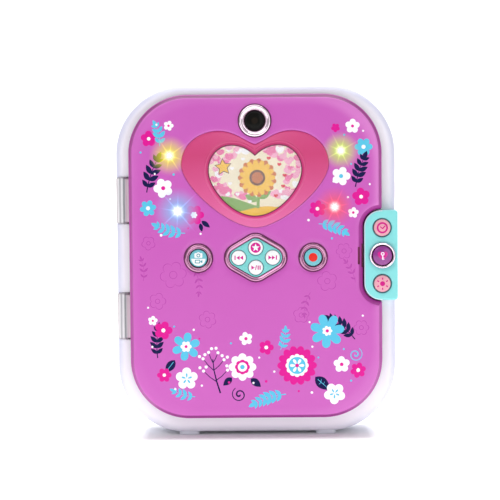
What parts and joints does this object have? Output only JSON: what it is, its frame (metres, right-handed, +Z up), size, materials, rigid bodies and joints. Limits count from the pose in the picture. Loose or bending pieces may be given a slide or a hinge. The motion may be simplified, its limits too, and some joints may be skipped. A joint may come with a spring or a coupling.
{
  "type": "electronic secret diary",
  "caption": "Upright handheld electronic diary with a hinged, lockable cover, heart-shaped screen window, play buttons, keyboard inside and a lock panel on its edge.",
  "frame": {"origin": "middle of the footprint, on the surface that the two feet stand on", "axes": "+Z up, +X to the right of someone who faces the cover, -Y out of the cover towards that person"},
  "size_m": [0.1516, 0.044, 0.189],
  "materials": {
    "base_white": "smooth satin white with a faint lavender cast",
    "deck_white": "smooth satin white",
    "foot_grey": "matt",
    "steel_screws": "bright zinc",
    "board_green": "solder-mask green with bright pads",
    "lcd": "dark panel in a metal frame",
    "flex_amber": "amber film",
    "screen_glow": "clear lens with a lit picture behind it",
    "key_pink": "soft matt silicone",
    "silicone_clear": "milky silicone",
    "camera_black": "polished black",
    "mic_grey": "bright can",
    "speaker_dark": "dark cone in a steel basket",
    "cell_jacket": "printed foil jacket",
    "contact_nickel": "nickel plated",
    "aqua": "glossy turquoise",
    "chrome_ring": "mirror plating with a pink cast",
    "coil_copper": "wound coil in a steel yoke",
    "pin_steel": "ground steel",
    "side_pink": "pale pink",
    "purple_dome": "glossy purple with a printed sign",
    "rose_cap": "pale rose with a printed sign",
    "bolt_steel": "stamped steel",
    "cover_magenta": "pearly magenta with a printed flower pattern",
    "liner_pink": "satin pink",
    "heart_pink": "translucent deep pink",
    "window_clear": "clear polished",
    "lens_black": "polished black",
    "led_clear": "clear light guide, lit",
    "barrel_clear": "clear polished",
    "cap_aqua": "turquoise and white with a printed sign",
    "cap_white": "white with a printed sign"
  },
  "bodies": {
    "base": {"rear_case": "base_white", "front_deck": "deck_white", "rubber_feet": "foot_grey", "case_screws": "steel_screws", "main_board": "board_green", "board_screws": "steel_screws", "lcd_module": "lcd", "lcd_flex": "flex_amber", "screen_lens": "screen_glow", "keypad": "key_pink", "button_pad": "silicone_clear", "camera_module": "camera_black", "led_strips": "board_green", "microphone": "mic_grey", "speaker": "speaker_dark", "batteries": "cell_jacket", "battery_contacts": "contact_nickel", "lock_panel": "aqua", "lock_ring": "chrome_ring", "lock_board": "board_green", "lock_solenoid": "coil_copper", "hinge_pins": "pin_steel", "side_board": "board_green"},
    "battery_door": {"battery_door": "base_white", "door_screw": "steel_screws"},
    "cover": {"cover_shell": "cover_magenta", "cover_liner": "liner_pink", "heart_bezel": "heart_pink", "heart_window": "window_clear", "camera_ring": "chrome_ring", "camera_window": "lens_black", "photo_ring": "chrome_ring", "record_ring": "chrome_ring", "pad_bezel": "chrome_ring", "pad_plate": "aqua", "button_membrane": "silicone_clear", "led_lenses": "led_clear", "hinge_leaves": "barrel_clear", "latch_strike": "bolt_steel", "cover_screws": "steel_screws"},
    "lock_button": {"lock_button": "purple_dome"},
    "clock_button": {"clock_button": "rose_cap"},
    "light_button": {"light_button": "rose_cap"},
    "volume_up_button": {"volume_up_button": "side_pink"},
    "volume_down_button": {"volume_down_button": "side_pink"},
    "latch_bolt": {"latch_bolt": "bolt_steel"},
    "photo_button": {"photo_button": "cap_aqua"},
    "record_button": {"record_button": "cap_aqua"},
    "play_button": {"play_button": "cap_white"},
    "star_button": {"star_button": "cap_white"},
    "previous_button": {"previous_button": "cap_white"},
    "next_button": {"next_button": "cap_white"}
  },
  "joints": [
    {"name": "cover_hinge", "type": "hinge", "parent": "base", "child": "cover", "pos_m": [-0.072, -0.008, 0.0973], "axis": [0, 0, -1], "range_deg": [0, 150]},
    {"name": "battery_door_lift", "type": "slide", "parent": "base", "child": "battery_door", "axis": [0, 1, 0], "range_m": [0, 0.03]},
    {"name": "latch_slide", "type": "slide", "parent": "base", "child": "latch_bolt", "axis": [-1, 0, 0], "range_m": [0, 0.0052]},
    {"name": "lock_press", "type": "slide", "parent": "base", "child": "lock_button", "axis": [0, 1, 0], "range_m": [0, 0.001], "stiffness_N_per_m": 60},
    {"name": "clock_press", "type": "slide", "parent": "base", "child": "clock_button", "axis": [0, 1, 0], "range_m": [0, 0.001], "stiffness_N_per_m": 60},
    {"name": "light_press", "type": "slide", "parent": "base", "child": "light_button", "axis": [0, 1, 0], "range_m": [0, 0.001], "stiffness_N_per_m": 60},
    {"name": "volume_up_press", "type": "slide", "parent": "base", "child": "volume_up_button", "axis": [-1, 0, 0], "range_m": [0, 0.0009], "stiffness_N_per_m": 60},
    {"name": "volume_down_press", "type": "slide", "parent": "base", "child": "volume_down_button", "axis": [-1, 0, 0], "range_m": [0, 0.0009], "stiffness_N_per_m": 60},
    {"name": "photo_press", "type": "slide", "parent": "cover", "child": "photo_button", "axis": [0, 1, 0], "range_m": [0, 0.0012], "stiffness_N_per_m": 60},
    {"name": "record_press", "type": "slide", "parent": "cover", "child": "record_button", "axis": [0, 1, 0], "range_m": [0, 0.0012], "stiffness_N_per_m": 60},
    {"name": "play_press", "type": "slide", "parent": "cover", "child": "play_button", "axis": [0, 1, 0], "range_m": [0, 0.0012], "stiffness_N_per_m": 60},
    {"name": "star_press", "type": "slide", "parent": "cover", "child": "star_button", "axis": [0, 1, 0], "range_m": [0, 0.0012], "stiffness_N_per_m": 60},
    {"name": "previous_press", "type": "slide", "parent": "cover", "child": "previous_button", "axis": [0, 1, 0], "range_m": [0, 0.0012], "stiffness_N_per_m": 60},
    {"name": "next_press", "type": "slide", "parent": "cover", "child": "next_button", "axis": [0, 1, 0], "range_m": [0, 0.0012], "stiffness_N_per_m": 60}
  ]
}
